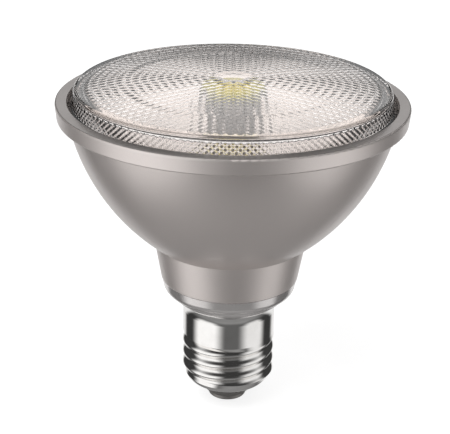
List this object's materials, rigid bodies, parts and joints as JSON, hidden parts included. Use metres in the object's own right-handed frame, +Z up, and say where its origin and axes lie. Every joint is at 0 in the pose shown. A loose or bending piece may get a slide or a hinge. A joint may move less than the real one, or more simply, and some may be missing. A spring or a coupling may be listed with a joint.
{
  "type": "reflector spotlight lamp",
  "caption": "LED reflector lamp with a screw cap, silver housing with rim and neck, clear prismatic front lens, mirror tray and its driver inside",
  "frame": {"origin": "tip of the centre contact, on the lamp's axis, which is the bottom centre of the object's box", "axes": "+Z runs up the lamp's axis from the centre contact to the front lens, +X to the right and -Y towards the camera; metres"},
  "size_m": [0.0948, 0.0948, 0.0968],
  "materials": {
    "silver_metal": "satin silver lacquer",
    "clear_lens": "clear moulded polycarbonate",
    "clear_cup": "clear moulded polycarbonate",
    "clear_silicone": "clear cast silicone",
    "seal_rubber": "soft grey silicone rubber",
    "bright_tray": "vacuum metallised",
    "bare_aluminium": "as cast",
    "white_board": "white solder mask over an aluminium core",
    "white_ceramic": "matte sintered",
    "yellow_phosphor": "phosphor in silicone",
    "green_board": "green solder mask",
    "black_sleeve": "shrink sleeve",
    "dark_ferrite": "sintered ferrite",
    "wound_copper": "enamelled copper wire",
    "black_moulding": "moulded epoxy",
    "film_case": "dipped epoxy",
    "fuse_body": "baked lacquer",
    "bright_shell": "nickel plated",
    "grey_insulator": "moulded, matte",
    "tinned_contact": "tinned, dull",
    "red_wire": "silicone insulation",
    "black_wire": "silicone insulation",
    "brown_wire": "silicone insulation",
    "blue_wire": "silicone insulation"
  },
  "bodies": {
    "root": {"housing": "silver_metal", "front_lens": "clear_lens", "lens_seal": "seal_rubber", "reflector": "bright_tray", "heat_spreader": "bare_aluminium", "led_board": "white_board", "led_package": "white_ceramic", "led_phosphor": "yellow_phosphor", "led_dome": "clear_silicone", "driver_cup": "clear_cup", "driver_board": "green_board", "bulk_capacitor": "black_sleeve", "transformer_core": "dark_ferrite", "transformer_winding": "wound_copper", "bridge_rectifier": "black_moulding", "controller_chip": "black_moulding", "film_capacitor": "film_case", "fuse_resistor": "fuse_body", "screw_shell": "bright_shell", "cap_insulator": "grey_insulator", "centre_contact": "tinned_contact", "live_lead": "brown_wire", "neutral_lead": "blue_wire", "led_lead_negative": "black_wire", "led_lead_positive": "red_wire"}
  },
  "joints": []
}
